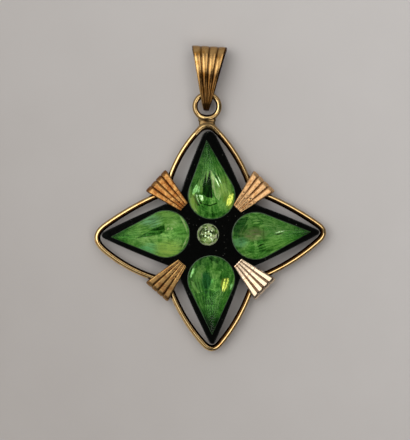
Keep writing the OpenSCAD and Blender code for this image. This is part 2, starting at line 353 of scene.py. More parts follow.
def piece(name, points, faces, *materials):
    """A new mesh object from points in millimetres."""
    mesh = bpy.data.meshes.new(name)
    mesh.from_pydata([p * MM for p in points], [], faces)
    mesh.update()
    for material in materials:
        mesh.materials.append(material)
    return in_scene(name, mesh)


def face_outward(obj):
    mesh = bmesh.new()
    mesh.from_mesh(obj.data)
    bmesh.ops.recalc_face_normals(mesh, faces=mesh.faces)
    mesh.to_mesh(obj.data)
    mesh.free()


def soften(obj, degrees=35.0):
    """Smooth shading that keeps each edge sharper than the angle."""
    mesh = bmesh.new()
    mesh.from_mesh(obj.data)
    for face in mesh.faces:
        face.smooth = True
    for edge in mesh.edges:
        edge.smooth = edge.calc_face_angle(0) < math.radians(degrees)
    mesh.to_mesh(obj.data)
    mesh.free()


def settle(obj):
    """Turns an object's modifiers into its mesh."""
    graph = bpy.context.evaluated_depsgraph_get()
    mesh = bpy.data.meshes.new_from_object(obj.evaluated_get(graph))
    obj.modifiers.clear()
    obj.data = mesh


def finish_piece(obj, body, slot, *nodes):
    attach(obj, body)
    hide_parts(*nodes)


# Materials

# How far apart the marks of each pattern lie, in millimetres. Real pits, dust, hairlines and chips
# are a few hundredths of a millimetre wide, too fine to show in the render, so these are drawn about
# ten times coarser. Worn blotches, dusty patches and rubbing have their real size.
BLOTCH = 1.1
PIT = 0.3
SPECK = 0.55
DUSTY = 3.0
HAIRLINE = 0.5
RUBBING = 0.9
CHIP = 0.5
# How many of the foil's marks lie in one millimetre: clouds 1.8 mm apart, crumples 0.45 mm apart,
# finer ones on a flash, pleats 0.4 mm apart and slow waves along them. The pleats and crumples are
# drawn two or three times coarser than real ones, so that they show.
CLOUDS = 0.55
CRUMPLES = 2.2
FLASH_CRUMPLES = 3.0
PLEATS = 2.4
WAVES = 0.45


def add(tree, kind, settings=None, links=None):
    """Adds a shader node with its settings, and links others into it: one of a node's outputs, or its
    first where only the node is given. Stops are the places and colours of a colour ramp."""
    made = tree.nodes.new("ShaderNode" + kind)
    for key, value in (settings or {}).items():
        if key == "stops":
            elements = made.color_ramp.elements
            while len(elements) < len(value):
                elements.new(0.5)
            for element, (place, colour) in zip(elements, value):
                element.position = place
                element.color = colour if isinstance(colour, list) else [colour] * 3 + [1.0]
        elif isinstance(key, int) or key in made.inputs:
            made.inputs[key].default_value = value
        else:
            setattr(made, key, value)
    for key, source in (links or {}).items():
        output = source.outputs[0] if isinstance(source, bpy.types.Node) else source
        tree.links.new(output, made.inputs[key])
    return made


def new_material(name):
    material = bpy.data.materials.new(name)
    material.use_nodes = True
    material.node_tree.nodes.clear()
    return material, material.node_tree


def plated_gold(name, tint, worn, grime_and_shade, rough, wear, pits):
    """Gold plate, polished and worn by handling. Broad soft blotches of the warmer metal come
    through where it is thin, old polish stays brown in the grooves, and fine pits and hairlines
    break the reflections. The same brown, led by the groove attribute, also paints shade along the
    wire and the ring and over the bail. Wear is the share of the surface worn through, pits their
    depth in mm."""
    material, tree = new_material(name)
    place = add(tree, "TexCoord").outputs["Object"]
    blotch = add(tree, "TexNoise", {"Scale": 1 / (BLOTCH * MM), "Detail": 4.0, "Roughness": 0.6},
                 {"Vector": place})
    fine = add(tree, "TexNoise", {"Scale": 1 / (PIT * MM), "Detail": 2.0, "Roughness": 0.5},
               {"Vector": place})
    thin = add(tree, "ValToRGB", {"stops": [(0.62 - 0.3 * wear, 0.0), (0.72 - 0.2 * wear, 1.0)]},
               {"Fac": blotch})
    grooved = add(tree, "Attribute", {"attribute_name": "groove"}).outputs["Fac"]
    dirt = add(tree, "ValToRGB", {"stops": [(0.25, 0.0), (0.8, 1.0)]}, {"Fac": grooved})
    gold = add(tree, "Mix", {"data_type": "RGBA", 6: linear(tint), 7: linear(worn)}, {0: thin})
    colour = add(tree, "Mix", {"data_type": "RGBA", 7: linear(grime_and_shade)}, {0: dirt, 6: gold.outputs[2]})
    rougher = add(tree, "MapRange", {"From Min": 0.3, "From Max": 0.7, "To Min": rough * 0.7,
                                     "To Max": rough * 1.5}, {"Value": fine})
    bump = add(tree, "Bump", {"Strength": 1.0, "Distance": pits * MM}, {"Height": fine})
    shader = add(tree, "BsdfPrincipled", {"Metallic": 1.0},
                 {"Base Color": colour.outputs[2], "Roughness": rougher, "Normal": bump})
    add(tree, "OutputMaterial", links={"Surface": shader})
    return material


def black_plastic(name):
    """Black plastic, moulded and polished: a deep gloss with hairline scratches, and pale specks of
    dust and skin oil that gather by the clamps and stones."""
    material, tree = new_material(name)
    place = add(tree, "TexCoord").outputs["Object"]
    specks = add(tree, "TexVoronoi", {"Scale": 1 / (SPECK * MM)}, {"Vector": place})
    patches = add(tree, "TexNoise", {"Scale": 1 / (DUSTY * MM), "Detail": 2.0}, {"Vector": place})
    small = add(tree, "ValToRGB", {"stops": [(0.05, 1.0), (0.16, 0.0)]},
                {"Fac": specks.outputs["Distance"]})
    where = add(tree, "ValToRGB", {"stops": [(0.5, 0.0), (0.66, 0.6)]}, {"Fac": patches})
    dust = add(tree, "Math", {"operation": "MULTIPLY"}, {0: small, 1: where})
    colour = add(tree, "Mix", {"data_type": "RGBA", 6: linear("#050605"), 7: linear("#9a9a90")},
                 {0: dust})
    hairlines = add(tree, "TexNoise",
                    {"Scale": 1 / (HAIRLINE * MM), "Detail": 6.0, "Distortion": 2.0}, {"Vector": place})
    rough = add(tree, "MapRange", {"From Min": 0.35, "From Max": 0.7, "To Min": 0.05, "To Max": 0.14},
                {"Value": hairlines})
    shader = add(tree, "BsdfPrincipled", {"IOR": 1.49},
                 {"Base Color": colour.outputs[2], "Roughness": rough})
    add(tree, "OutputMaterial", links={"Surface": shader})
    return material


def cut_glass(name, tint, rough):
    """Coloured glass, cut and polished. The face is clear, so the eye sees through it to the
    mirrored back, and years of wear have rubbed it a little."""
    material, tree = new_material(name)
    place = add(tree, "TexCoord").outputs["Object"]
    rubbed = add(tree, "TexNoise", {"Scale": 1 / (RUBBING * MM), "Detail": 4.0}, {"Vector": place})
    roughness = add(tree, "MapRange", {"From Min": 0.4, "From Max": 0.75, "To Min": rough,
                                       "To Max": rough * 3}, {"Value": rubbed})
    shader = add(tree, "BsdfPrincipled",
                 {"IOR": GLASS_IOR, "Transmission Weight": 1.0, "Specular Tint": linear("#707070"),
                  "Base Color": linear(tint)}, {"Roughness": roughness})
    add(tree, "OutputMaterial", links={"Surface": shader})
    return material


def ground_edge(name, colour):
    """The edge of a stone where the wheel left it matt: a thin pale grey-green line."""
    material, tree = new_material(name)
    place = add(tree, "TexCoord").outputs["Object"]
    chips = add(tree, "TexNoise", {"Scale": 1 / (CHIP * MM), "Detail": 3.0}, {"Vector": place})
    tint = add(tree, "ValToRGB", {"stops": [(0.3, linear("#23451f")), (0.7, linear(colour))]},
               {"Fac": chips})
    shader = add(tree, "BsdfPrincipled", {"IOR": GLASS_IOR, "Roughness": 0.45}, {"Base Color": tint})
    add(tree, "OutputMaterial", links={"Surface": shader})
    return material


def foiled_back(name, shades, tip_x, tip_dark, patches, streaks, metal):
    """The foil behind a coloured glass stone. Each facet has the tone of its attribute, from deep
    green through the body colour to a pale gleam: the deep and pale tones are painted shade and
    painted reflections of the lights. Fine pleats run in a fan from the tip, and soft patches of other
    hues show along them: their hues are aged foil, and where they are paler than the foil they are
    painted glows of reflected light. Places are in millimetres in the stone's own frame, streaks is how
    many pleats lie across one millimetre of the head, and metal is how bare the foil lies."""
    material, tree = new_material(name)
    own = add(tree, "Attribute", {"attribute_name": "own"}).outputs["Vector"]
    tone = add(tree, "Attribute", {"attribute_name": "tone"}).outputs["Fac"]
    from_tip = add(tree, "VectorMath", {"operation": "SUBTRACT", 0: (tip_x, 0, 0)}, {1: own})
    flat = add(tree, "VectorMath", {"operation": "MULTIPLY", 1: (1, 1, 0)}, {0: from_tip})
    parts = add(tree, "SeparateXYZ", links={0: flat})
    angle = add(tree, "Math", {"operation": "ARCTAN2"}, {0: parts.outputs["Y"], 1: parts.outputs["X"]})
    reach = add(tree, "VectorMath", {"operation": "LENGTH"}, {0: flat})
    fan = add(tree, "Math", {"operation": "MULTIPLY", 1: streaks * tip_x}, {0: angle})
    along = add(tree, "Math", {"operation": "MULTIPLY", 1: WAVES}, {0: reach.outputs["Value"]})
    pleat_at = add(tree, "CombineXYZ", links={0: fan, 1: along})
    pleats = add(tree, "TexNoise", {"Scale": 1.0, "Detail": 3.0, "Roughness": 0.6, "Distortion": 0.4},
                 {"Vector": pleat_at})
    cloud = add(tree, "TexNoise", {"Scale": CLOUDS, "Detail": 3.0, "Roughness": 0.55}, {"Vector": own})
    crumple = add(tree, "TexNoise",
                  {"Scale": CRUMPLES, "Detail": 4.0, "Roughness": 0.65, "Distortion": 1.2}, {"Vector": own})

    # The three patterns are added to the tone, less what they come to on average, and less again
    # towards the tip, as painted shade
    patterns, average = ((pleats, 1.1), (cloud, 0.2), (crumple, 0.75)), 1.02
    tip_shade = add(tree, "MapRange",
                    {"interpolation_type": "SMOOTHSTEP", "From Min": tip_x * 0.6, "From Max": 0.5,
                     "To Min": -average, "To Max": -average - tip_dark}, {"Value": reach.outputs["Value"]})
    level = add(tree, "Math", {"operation": "ADD"}, {0: tone, 1: tip_shade})
    for source, amount in patterns:
        level = add(tree, "Math", {"operation": "MULTIPLY_ADD", 1: amount}, {0: source, 2: level})
    colour = add(tree, "ValToRGB", {"stops": [(p, linear(c)) for p, c in shades]}, {"Fac": level})

    # A patch is longer along the stone than across it, and shows most on the pleats' crests
    shape_x, shape_y = 0.65, 1.1
    spread = add(tree, "VectorMath", {"operation": "MULTIPLY", 1: (shape_x, shape_y, 0)}, {0: own})
    crests = add(tree, "MapRange", {"From Min": 0.4, "From Max": 0.58, "To Min": 0.35}, {"Value": pleats})
    for centre, radius, hue, amount in patches:
        away = add(tree, "VectorMath",
                   {"operation": "DISTANCE", 0: (centre.x * shape_x, centre.y * shape_y, 0)},
                   {1: spread})
        near = add(tree, "MapRange",
                   {"interpolation_type": "SMOOTHSTEP", "From Min": radius, "From Max": radius * 0.3,
                    "To Max": amount}, {"Value": away.outputs["Value"]})
        shows = add(tree, "Math", {"operation": "MULTIPLY"}, {0: near, 1: crests})
        colour = add(tree, "Mix", {"data_type": "RGBA", 7: linear(hue)},
                     {0: shows, 6: colour}).outputs[2]
    shader = add(tree, "BsdfPrincipled",
                 {"Metallic": metal, "Roughness": 0.34, "Specular IOR Level": 0.2}, {"Base Color": colour})
    add(tree, "OutputMaterial", links={"Surface": shader})
    return material


def flash_facet(name, tint, metallic):
    """A facet where the foil lies smooth and throws a lamp's light back to the eye. Its pale colour
    also paints a glint in, under any light.
    """
    material, tree = new_material(name)
    own = add(tree, "Attribute", {"attribute_name": "own"}).outputs["Vector"]
    crumple = add(tree, "TexNoise", {"Scale": FLASH_CRUMPLES, "Detail": 3.0}, {"Vector": own})
    colour = add(tree, "ValToRGB", {"stops": [(0.36, linear("#5f8a34")), (0.52, linear(tint))]},
                 {"Fac": crumple})
    shader = add(tree, "BsdfPrincipled", {"Metallic": metallic, "Roughness": 0.26},
                 {"Base Color": colour})
    add(tree, "OutputMaterial", links={"Surface": shader})
    return material


WIRE_GOLD = plated_gold("polished_gold_plate_wire", "#eecb8c", "#deae6c", "#341d06", 0.13, 0.3, 0.006)
BAIL_GOLD = plated_gold("polished_gold_plate_bail", "#e2b674", "#cc9850", "#4c2c0a", 0.17, 0.3, 0.008)
# The clamps' golds are lit and shaded copies of one gold, palest on the lower right and darkest on the upper
# left, as painted light and shade. The upper left's worn-through copper and deep pits are real wear.
CLAMP_GOLDS_LIT_AND_SHADED = (
    plated_gold("gold_plate_clamp_painted_half_lit", "#d8ae7c", "#bc8c58", "#865224", 0.25, 0.3, 0.0015),
    plated_gold("worn_coppery_plate_clamp_painted_shade", "#a47a46", "#7e4e24", "#5a2e10", 0.25, 0.7, 0.030),
    plated_gold("gold_plate_clamp_painted_shade", "#aa8652", "#946a3e", "#523014", 0.2, 0.5, 0.008),
    plated_gold("gold_plate_clamp_painted_light", "#e6d0b4", "#d8b086", "#7c4e2c", 0.2, 0.2, 0.004),
)
BLACK = black_plastic("black_plastic_polished")
GREEN_GLASS = cut_glass("green_glass_cut", "#e6f8dc", 0.03)
GREEN_EDGE = ground_edge("green_glass_ground_edge", "#4d6e46")
# The pear stones' foil shades run from deep green to a pale gleam: the darkest are painted shade and the
# palest painted reflections of the lights
GREEN_SHADES = ((0.0, "#092008"), (0.22, "#2b6a22"), (0.46, "#6cba52"), (0.75, "#c2f090"), (1.0, "#fcffd4"))
# A flash is foil leaned to mirror the window, and its pale colour paints a glint in as well
YELLOW_FLASH = flash_facet("foil_facet_flash_and_painted_glint_yellow", "#f2ee72", 0.6)
WHITE_FLASH = flash_facet("foil_facet_flash_and_painted_glint_white", "#e0f4d2", 0.7)
MINT_FLASH = flash_facet("foil_facet_flash_and_painted_glint_pale_green", "#92c684", 0.5)
PALE_GLASS = cut_glass("pale_green_glass_cut", "#fbfff4", 0.02)
PALE_EDGE = ground_edge("pale_green_glass_ground_edge", "#b9c89a")
# The round stone's foil shades: the darkest are painted shade and the palest painted reflections
PALE_SHADES = ((0.0, "#10190a"), (0.25, "#4d6b2c"), (0.5, "#b4da80"), (0.75, "#e6fbb0"), (1.0, "#fdffe4"))


# The wire star with its ring

def keep_dirt_and_painted_shade(obj, values):
    """Keeps how dark each point is, from 0 to 1, in the groove attribute: painted shade on the wire,
    ring and bail, the solder's darker brown, and old polish in the grooves.
    """
    kept = obj.data.attributes.new("groove", "FLOAT", "POINT")
    kept.data.foreach_set("value", values)


def side_painted_shade(out, rubbed=0.0):
    """Painted shade round a wire, along the inner side and low on the outer side. Out is how far out a
    point of the wire lies, from -1 to 1. Rubbed is how far the shade is left off the outer side, which
    then stays bright, with a painted dark line between it and the top."""
    inner = (SIDE_SHADE_FROM * (1 - rubbed) - out) / SIDE_SHADE_FADE
    outer = min(0.58, (out - 0.2) / 0.75) * (1 - rubbed)
    line = 0.62 * rubbed * math.exp(-((out - 0.45) / 0.2) ** 2)
    return held(max(inner, outer, line))


def star_wire():
    """The round wire, bent to the star, with painted shade along its sides. The shade is left off its
    outer side along its lower left, which stays bright.
    """
    path = wire_path()
    points, faces = tube_along(path, [WIRE_R] * len(path), WIRE_SIDES)
    obj = piece("star_wire", turned(points, 0, STAR_AT, WIRE_Z), faces, WIRE_GOLD)
    values = []
    for k in range(len(path)):
        # How far the painted shade is left off the outer side here, where it faces the lower left
        facing = right_of(path[k - 1], path[(k + 1) % len(path)]).dot(polar(1.0, UNSHADED_SIDE_DIR))
        rubbed = held((facing - 0.6) / 0.2)
        values += [side_painted_shade(math.cos(math.tau * j / WIRE_SIDES), rubbed) for j in range(WIRE_SIDES)]
    keep_dirt_and_painted_shade(obj, values)
    soften(obj)
    finish_piece(obj, "pendant", "wire_gold", "frame")


def ring_and_solder():
    """The ring, with the solder drawn up between it and the wire in a soft fillet. The ring, three
    rods of solder and a skin over the wire are fused and smoothed into one."""
    circle = [RING_AT + polar(RING_R, -360 * k / RING_STEPS) for k in range(RING_STEPS)]
    path = wire_path()
    top = max(range(len(path)), key=lambda k: path[k].y)
    wire_top = path[top].y + WIRE_R
    ring_low = RING_AT.y - RING_R - RING_WIRE_R
    solder_y = (wire_top + ring_low) / 2

    def creep(place):
        """How thick the solder has crept along the metal at a place."""
        across = max(0.0, 1 - ((place.x - RING_AT.x) / CREEP_ACROSS) ** 2)
        return CREEP * across * (abs(place.y - solder_y) < CREEP_UP)

    near = [path[(top + k) % len(path)] for k in range(-SKIN_STEPS, SKIN_STEPS + 1)]
    rods = [(near, [WIRE_R + SOLDER_SKIN + creep(p) for p in near])]
    turns = [math.pi * k / ROD_STEPS for k in range(1, ROD_STEPS)]
    for above, reach in SOLDER_RODS:
        rod = [Vector((RING_AT.x - reach * SOLDER_W / 2 * math.cos(a), solder_y + above)) for a in turns]
        rods.append((rod, [SOLDER_R * math.sin(a) ** 0.6 for a in turns]))
    solids = [tube_along(circle, [RING_WIRE_R + creep(p) for p in circle], RING_SIDES)]
    solids += [tube_along(rod, radii, ROD_SIDES, closed=False) for rod, radii in rods]
    points, faces = joined(solids)
    obj = piece("ring_and_solder", turned(points, 0, STAR_AT, WIRE_Z), faces, WIRE_GOLD)
    face_outward(obj)
    fuse = obj.modifiers.new("fuse", "REMESH")
    fuse.mode = "VOXEL"
    fuse.voxel_size = FUSE_VOXEL * MM
    fillet = obj.modifiers.new("fillet", "SMOOTH")
    fillet.iterations = 16
    fillet.factor = 0.5
    settle(obj)

    # The ring has less painted shade than the star's wire, and the solder is duller all over
    centre, values = STAR_AT + RING_AT, []
    for vertex in obj.data.vertices:
        spot = vertex.co.to_2d() / MM
        out = ((spot - centre).length - RING_R) / RING_WIRE_R
        solder = held(1.5 - abs(spot.y - STAR_AT.y - solder_y) / 0.5)
        values.append(side_painted_shade(min(out + 0.45, 0.9)) * (1 - solder) + SOLDER_TARNISH * solder)
    keep_dirt_and_painted_shade(obj, values)
    soften(obj, 80)
    finish_piece(obj, "pendant", "wire_gold")


# The black plate

def black_star():
    """The plate with its edges softened, and a pocket cut for each stone."""
    points, faces = prism(plate_outline(), plate_low.z, plate_high.z)
    obj = piece("black_star", turned(points, 0, STAR_AT), faces, BLACK)
    mesh = bmesh.new()
    mesh.from_mesh(obj.data)
    rims = [e for e in mesh.edges if abs(e.verts[0].co.z - e.verts[1].co.z) < 0.1 * MM]
    bmesh.ops.bevel(mesh, geom=rims, offset=PLATE_EDGE * MM, segments=3, profile=0.5, affect="EDGES")
    bmesh.ops.recalc_face_normals(mesh, faces=mesh.faces)
    mesh.to_mesh(obj.data)
    mesh.free()
    pear_pocket = pear_outline(POCKET_STEPS, POCKET_GAP)
    round_pocket = [polar(ROUND_D / 2 + POCKET_GAP, 360 * k / POCKET_STEPS) for k in range(POCKET_STEPS)]
    pockets = [(pear_pocket, STONE_DIR[k], STAR_AT + Vector(STONE_AT[k])) for k in range(4)]
    pockets.append((round_pocket, 0, STAR_AT + ROUND_AT))
    cuts = []
    for outline, degrees, place in pockets:
        points, faces = prism(outline, plate_low.z + POCKET_FLOOR, plate_high.z + 1)
        cuts.append((turned(points, degrees, place), faces))
    cutter = piece("pocket_cutter", *joined(cuts))
    face_outward(cutter)
    pocket = obj.modifiers.new("pockets", "BOOLEAN")
    pocket.object = cutter
    pocket.solver = "EXACT"
    settle(obj)
    bpy.data.objects.remove(cutter)
    soften(obj, 30)
    for polygon in obj.data.polygons:
        polygon.use_smooth = abs(polygon.normal.z) < 0.999
    finish_piece(obj, "pendant", "black_plate", "star_plate")


# Grooved sheet, for the clamps and the bail

def sheet_section(station, narrow, dirt, painted_shade_at):
    """Points across a grooved strip, and how dark each one is: as the given painted shade says, and up
    to dirt in the grooves. The higher narrow is, the narrower the grooves and the broader the ridges' crowns."""
    (x, z), (out_x, out_z), half, thick, depth = station
    steps = RIDGES * RIDGE_STEPS
    points, dirt_and_shade = [], []
    for j in range(steps + 1):
        off_crown = abs(2 * (j % RIDGE_STEPS) / RIDGE_STEPS - 1)
        across = 2 * j / steps - 1
        low = off_crown ** narrow
        h = thick - depth * low
        points.append(Vector((x + out_x * h, half * across, z + out_z * h)))
        dirt_and_shade.append(max(painted_shade_at(x, off_crown, across), low * dirt))
    for side in (1, -1):
        points.append(Vector((x, half * side, z)))
        dirt_and_shade.append(max(painted_shade_at(x, 1.0, side), 0.3))
    return points, dirt_and_shade


def no_painted_shade(x, off_crown, across):
    return 0.0


def sheet_strip(name, stations, closed, material, matrix, narrow, dirt, painted_shade_at=no_painted_shade):
    """A grooved strip through its stations, which closes on itself or has two ends."""
    points, faces, dirt_and_shade = [], [], []
    for station in stations:
        section, section_dirt_and_shade = sheet_section(station, narrow, dirt, painted_shade_at)
        points += section
        dirt_and_shade += section_dirt_and_shade
    m, n = len(section), len(stations)
    for i in range(n if closed else n - 1):
        for k in range(m):
            after, beside = (i + 1) % n, (k + 1) % m
            faces.append((i * m + k, after * m + k, after * m + beside, i * m + beside))
    if not closed:
        faces += [tuple(range(m)), tuple(reversed(range((n - 1) * m, n * m)))]
    obj = piece(name, [matrix @ p for p in points], faces, material)
    keep_dirt_and_painted_shade(obj, dirt_and_shade)
    face_outward(obj)
    soften(obj, 40)
    return obj


def clamp_half(x):
    """Half the clamp's width, which narrows from the fold to the inner end."""
    return (CLAMP_W + (CLAMP_END_W - CLAMP_W) * -x / CLAMP_L) / 2


def clamp_stations():
    """Stations of a clamp in its own frame: the fold's outer edge is at x 0, and the leaves run
    towards -X above and below the plate. Each is the inner point, the outward direction, the half
    width, the thickness and the groove's depth."""
    fold_r = WIRE_R + WIRE_GAP
    leaf_z = PLATE_H / 2 + GAP
    fold_x = -(fold_r + SHEET)
    slope = math.atan((leaf_z - fold_r) / (fold_x - PLATE_EDGE_X))
    up = math.pi / 2

    def station(x, z, angle, thick=SHEET):
        """A station where the sheet faces an angle. The grooves grow shallow towards the fold."""
        half = clamp_half(x)
        shallow = 0.4 + 0.6 * min(1.0, -x / 0.5)
        return (x, z), (math.cos(angle), math.sin(angle)), half, thick, GROOVE * shallow * half * 2 / CLAMP_W

    def leaf(lift):
        """One leaf from its inner end to the fold, thicker by lift at the inner end: its rounded end,
        the flat on the plate, the bend over the plate's edge and the slope down to the fold."""
        steps, dip = 8, 0.02
        rows = [station(-CLAMP_L, leaf_z, up, SHEET + lift - CLAMP_RIM),
                station(-CLAMP_L + CLAMP_RIM * 0.4, leaf_z, up, SHEET + lift - CLAMP_RIM * 0.3)]
        flat = CLAMP_L - CLAMP_RIM + PLATE_EDGE_X
        for t in range(steps):
            x = -CLAMP_L + CLAMP_RIM + flat * t / steps
            rows.append(station(x, leaf_z, up, SHEET + lift * (1 - t / steps)))
        for t in range(7):
            part = t / 6
            along = CLAMP_BEND * (part - 0.5)
            z = leaf_z - max(0.0, along) * math.tan(slope) - dip * (1 - abs(2 * part - 1))
            rows.append(station(PLATE_EDGE_X + along, z, up - slope * part))
        start_x, start_z = PLATE_EDGE_X + CLAMP_BEND / 2, leaf_z - CLAMP_BEND / 2 * math.tan(slope)
        for t in range(1, steps):
            x = start_x + (fold_x - start_x) * t / steps
            rows.append(station(x, start_z + (fold_r - start_z) * t / steps, up - slope))
        return rows

    fold = []
    half_steps = 12
    for k in range(2 * half_steps + 1):
        angle = (up - slope) * (1 - k / half_steps)
        fold.append(station(fold_x + fold_r * math.cos(angle), fold_r * math.sin(angle), angle))
    back = []
    for (x, z), (out_x, out_z), half, thick, depth in reversed(leaf(0)):
        back.append(((x, -z), (out_x, -out_z), half, thick, depth))
    return leaf(CLAMP_LIFT) + fold + back


def clamps():
    """The four clamps, which are alike but for how they lean and their gold, whose lightness is painted
    light and shade.
    """
    stations = clamp_stations()
    for k, side in enumerate(("upper_right", "upper_left", "lower_left", "lower_right")):
        place = STAR_AT + polar(CLAMP_OUT[k], CLAMP_DIR[k])
        matrix = (Matrix.Translation((place.x, place.y, WIRE_Z))
                  @ Matrix.Rotation(math.radians(CLAMP_DIR[k] + CLAMP_LEAN[k]), 4, "Z"))
        obj = sheet_strip(side + "_clamp", stations, False, CLAMP_GOLDS_LIT_AND_SHADED[k], matrix,
                          narrow=6, dirt=0.7)
        finish_piece(obj, "pendant", "clamp_gold", "clamp_" + side)


def bail_half_at(x):
    """Half the bail's width at a height."""
    for (x0, half0), (x1, half1) in zip(BAIL_HALF, BAIL_HALF[1:]):
        if x <= x1:
            return half0 + (half1 - half0) * max(0, x - x0) / (x1 - x0)
    return BAIL_WIDEST


def fluted_bail():
    """The strip folded into a teardrop: the small turn sits in the ring, the wide fold is on top."""
    low = Vector((BAIL_LOW_R - BAIL_DOWN, 0))
    top = Vector((BAIL_UP - BAIL_TOP_R, BAIL_TOP_R - BAIL_LOW_R))
    between = top - low
    rise = math.atan2(between.y, between.x)
    front = rise + math.pi / 2 + math.asin((BAIL_TOP_R - BAIL_LOW_R) / between.length)
    back = -math.pi / 2

    def station(centre, radius, angle):
        """A station on a turn. The grooves grow shallow over the top fold."""
        out = unit(angle)
        inner = centre + out * (radius - BAIL_SHEET)
        x = centre.x + out.x * radius
        half = bail_half_at(x)
        shallow = 1 - 0.6 * max(0.0, (x - BAIL_FOLD_X) / (BAIL_UP - BAIL_FOLD_X))
        return inner, out, half, BAIL_SHEET, BAIL_GROOVE * shallow * half / BAIL_WIDEST

    swell = math.radians(BAIL_SWELL)
    turn_steps, over_steps = 28, 36
    turn, over = [], []
    for k in range(turn_steps + 1):
        turn.append(station(low, BAIL_LOW_R, back + (front + swell - math.tau - back) * k / turn_steps))
    for k in range(over_steps + 1):
        over.append(station(top, BAIL_TOP_R, front - swell + (back - front + swell) * k / over_steps))

    def leaf(first, last, steps, angle, lean):
        """Stations between two ends, swelling outward by a parabola that leans by lean at its ends."""
        rows = []
        for k in range(1, steps):
            t = k / steps
            out = unit(angle + math.atan(math.tan(lean) * (1 - 2 * t)))
            swollen = (last - first).length * math.tan(lean) * t * (1 - t)
            inner = first.lerp(last, t) + unit(angle) * swollen
            half = bail_half_at(inner.x + out.x * BAIL_SHEET)
            rows.append((inner, out, half, BAIL_SHEET, BAIL_GROOVE * half / BAIL_WIDEST))
        return rows

    stations = (turn + leaf(turn[-1][0], over[0][0], 24, front, swell)
                + over + leaf(over[-1][0], turn[0][0], 16, back, 0.0))
    hinge = STAR_AT + RING_AT + Vector((0, RING_R))
    matrix = (Matrix.Translation((hinge.x, hinge.y, WIRE_Z))
              @ Matrix.Rotation(math.radians(90 + BAIL_LEAN), 4, "Z"))

    def painted_shade_at(x, off_crown, across):
        """Painted shade over all of the bail, deeper over the top fold, where the ridges' sides darken most,
        and towards the ring, where the ridges' crowns stay a little lighter. The left edge below the fold
        has half of it, as painted light, and the right edge is painted dark as shade."""
        least, edge, fold_x = 0.43, 0.9, 6.0
        if across < -edge:
            return 0.85
        fold = min(0.52, least + (x - 5.9) * 0.9) + (x > fold_x) * 0.3 * off_crown ** 6
        low_end = min(0.8, least + (4.3 - x) * 0.28) * (0.86 + 0.14 * off_crown)
        painted_shade = max(least, fold, low_end)
        return painted_shade / 2 if across > edge and x < fold_x else painted_shade

    obj = sheet_strip("fluted_bail", stations, True, BAIL_GOLD, matrix, narrow=3, dirt=0.5, painted_shade_at=painted_shade_at)
    finish_piece(obj, "bail", "bail_gold", "bail")


# The stones

# What a face of a stone shows: each is the place of a material in its stone's list
GLASS, EDGE, FOIL, WHITE, YELLOW, MINT = range(6)
FLASHES = {"white": WHITE, "yellow": YELLOW, "mint": MINT}


def inside(point, outline):
    """Whether a flat point is inside a closed outline."""
    hit = False
    for a, b in zip(outline, outline[1:] + outline[:1]):
        if (a.y > point.y) != (b.y > point.y):
            hit ^= point.x < a.x + (b.x - a.x) * (point.y - a.y) / (b.y - a.y)
    return hit


def share_out(point, outline):
    """How far out a point lies from the origin, as a share of the way to the outline."""
    tiny, parallel = 1e-6, 1e-9
    if point.length < tiny:
        return 0.0
    way = point.normalized()
    reach = [0.0]
    for a, b in zip(outline, outline[1:] + outline[:1]):
        edge = b - a
        turn = way.x * edge.y - way.y * edge.x
        if abs(turn) > parallel:
            along = (a.x * edge.y - a.y * edge.x) / turn
            where = (a.x * way.y - a.y * way.x) / turn
            if along > 0 and -tiny <= where <= 1 + tiny:
                reach.append(along)
    return min(1.0, point.length / max(reach))


def cut_crown(outline, cut):
    """The points and faces of a stone's crown and edge, and what each face shows. The points go round
    the girdle's lower line, its upper line, the rim of the crown and the table."""
    n, half = len(outline), GIRDLE / 2
    m = n // 2
    rim = [p * (1 - GROUND_EDGE / p.length) for p in outline]
    points = [Vector((p.x, p.y, -half)) for p in outline]
    points += [Vector((p.x, p.y, half)) for p in outline]
    points += [Vector((p.x, p.y, half + GROUND_EDGE * 0.45)) for p in rim]
    for k in range(m):
        p = (outline[2 * k] + outline[2 * k + 1]) / 2 * cut["table"]
        points.append(Vector((p.x, p.y, cut["crown"])))
    faces = []
    for k in range(m):
        a, b, c = 2 * n + 2 * k, 2 * n + 2 * k + 1, 2 * n + (2 * k + 2) % n
        t, u = 3 * n + k, 3 * n + (k + 1) % m
        faces += [(a, b, t), (b, u, t), (b, c, u)]
    faces.append(tuple(range(3 * n, 3 * n + m)))
    kinds = [GLASS] * len(faces)
    for k in range(n):
        j = (k + 1) % n
        faces += [(k, n + k, n + j, j), (n + k, 2 * n + k, 2 * n + j, n + j)]
        kinds += [EDGE, EDGE]
    return points, faces, kinds


def lay_out_back(outline, cut, draw):
    """The lines of a stone's back, flat: the girdle, uneven rings of facets round the culet, and the
    facets that stand out. It gives places and the edges between them, which may cross."""
    n = len(outline)
    m = n // 2
    flat = list(outline)
    edges = [(k, (k + 1) % n) for k in range(n)]
    rings = []
    for level, reach in enumerate(cut["rings"]):
        rings.append(len(flat))
        for k in range(m):
            p = outline[2 * k] if level % 2 else (outline[2 * k] + outline[2 * k + 1]) / 2
            flat.append(p * reach * draw.uniform(0.95, 1.05))
    flat.append(Vector((0.0, 0.0)))
    for level, first in enumerate(rings):
        edges += [(first + k, first + (k + 1) % m) for k in range(m)]
        if level:
            edges += [(first + k, rings[level - 1] + k) for k in range(m)]
    edges += [(rings[0] + k, len(flat) - 1) for k in range(m)]
    edges += [(rings[-1] + k, 2 * k) for k in range(m)]
    for *_, corners in cut["marks"]:
        first, count = len(flat), len(corners)
        flat += corners
        edges += [(first + k, first + (k + 1) % count) for k in range(count)]
    return flat, edges


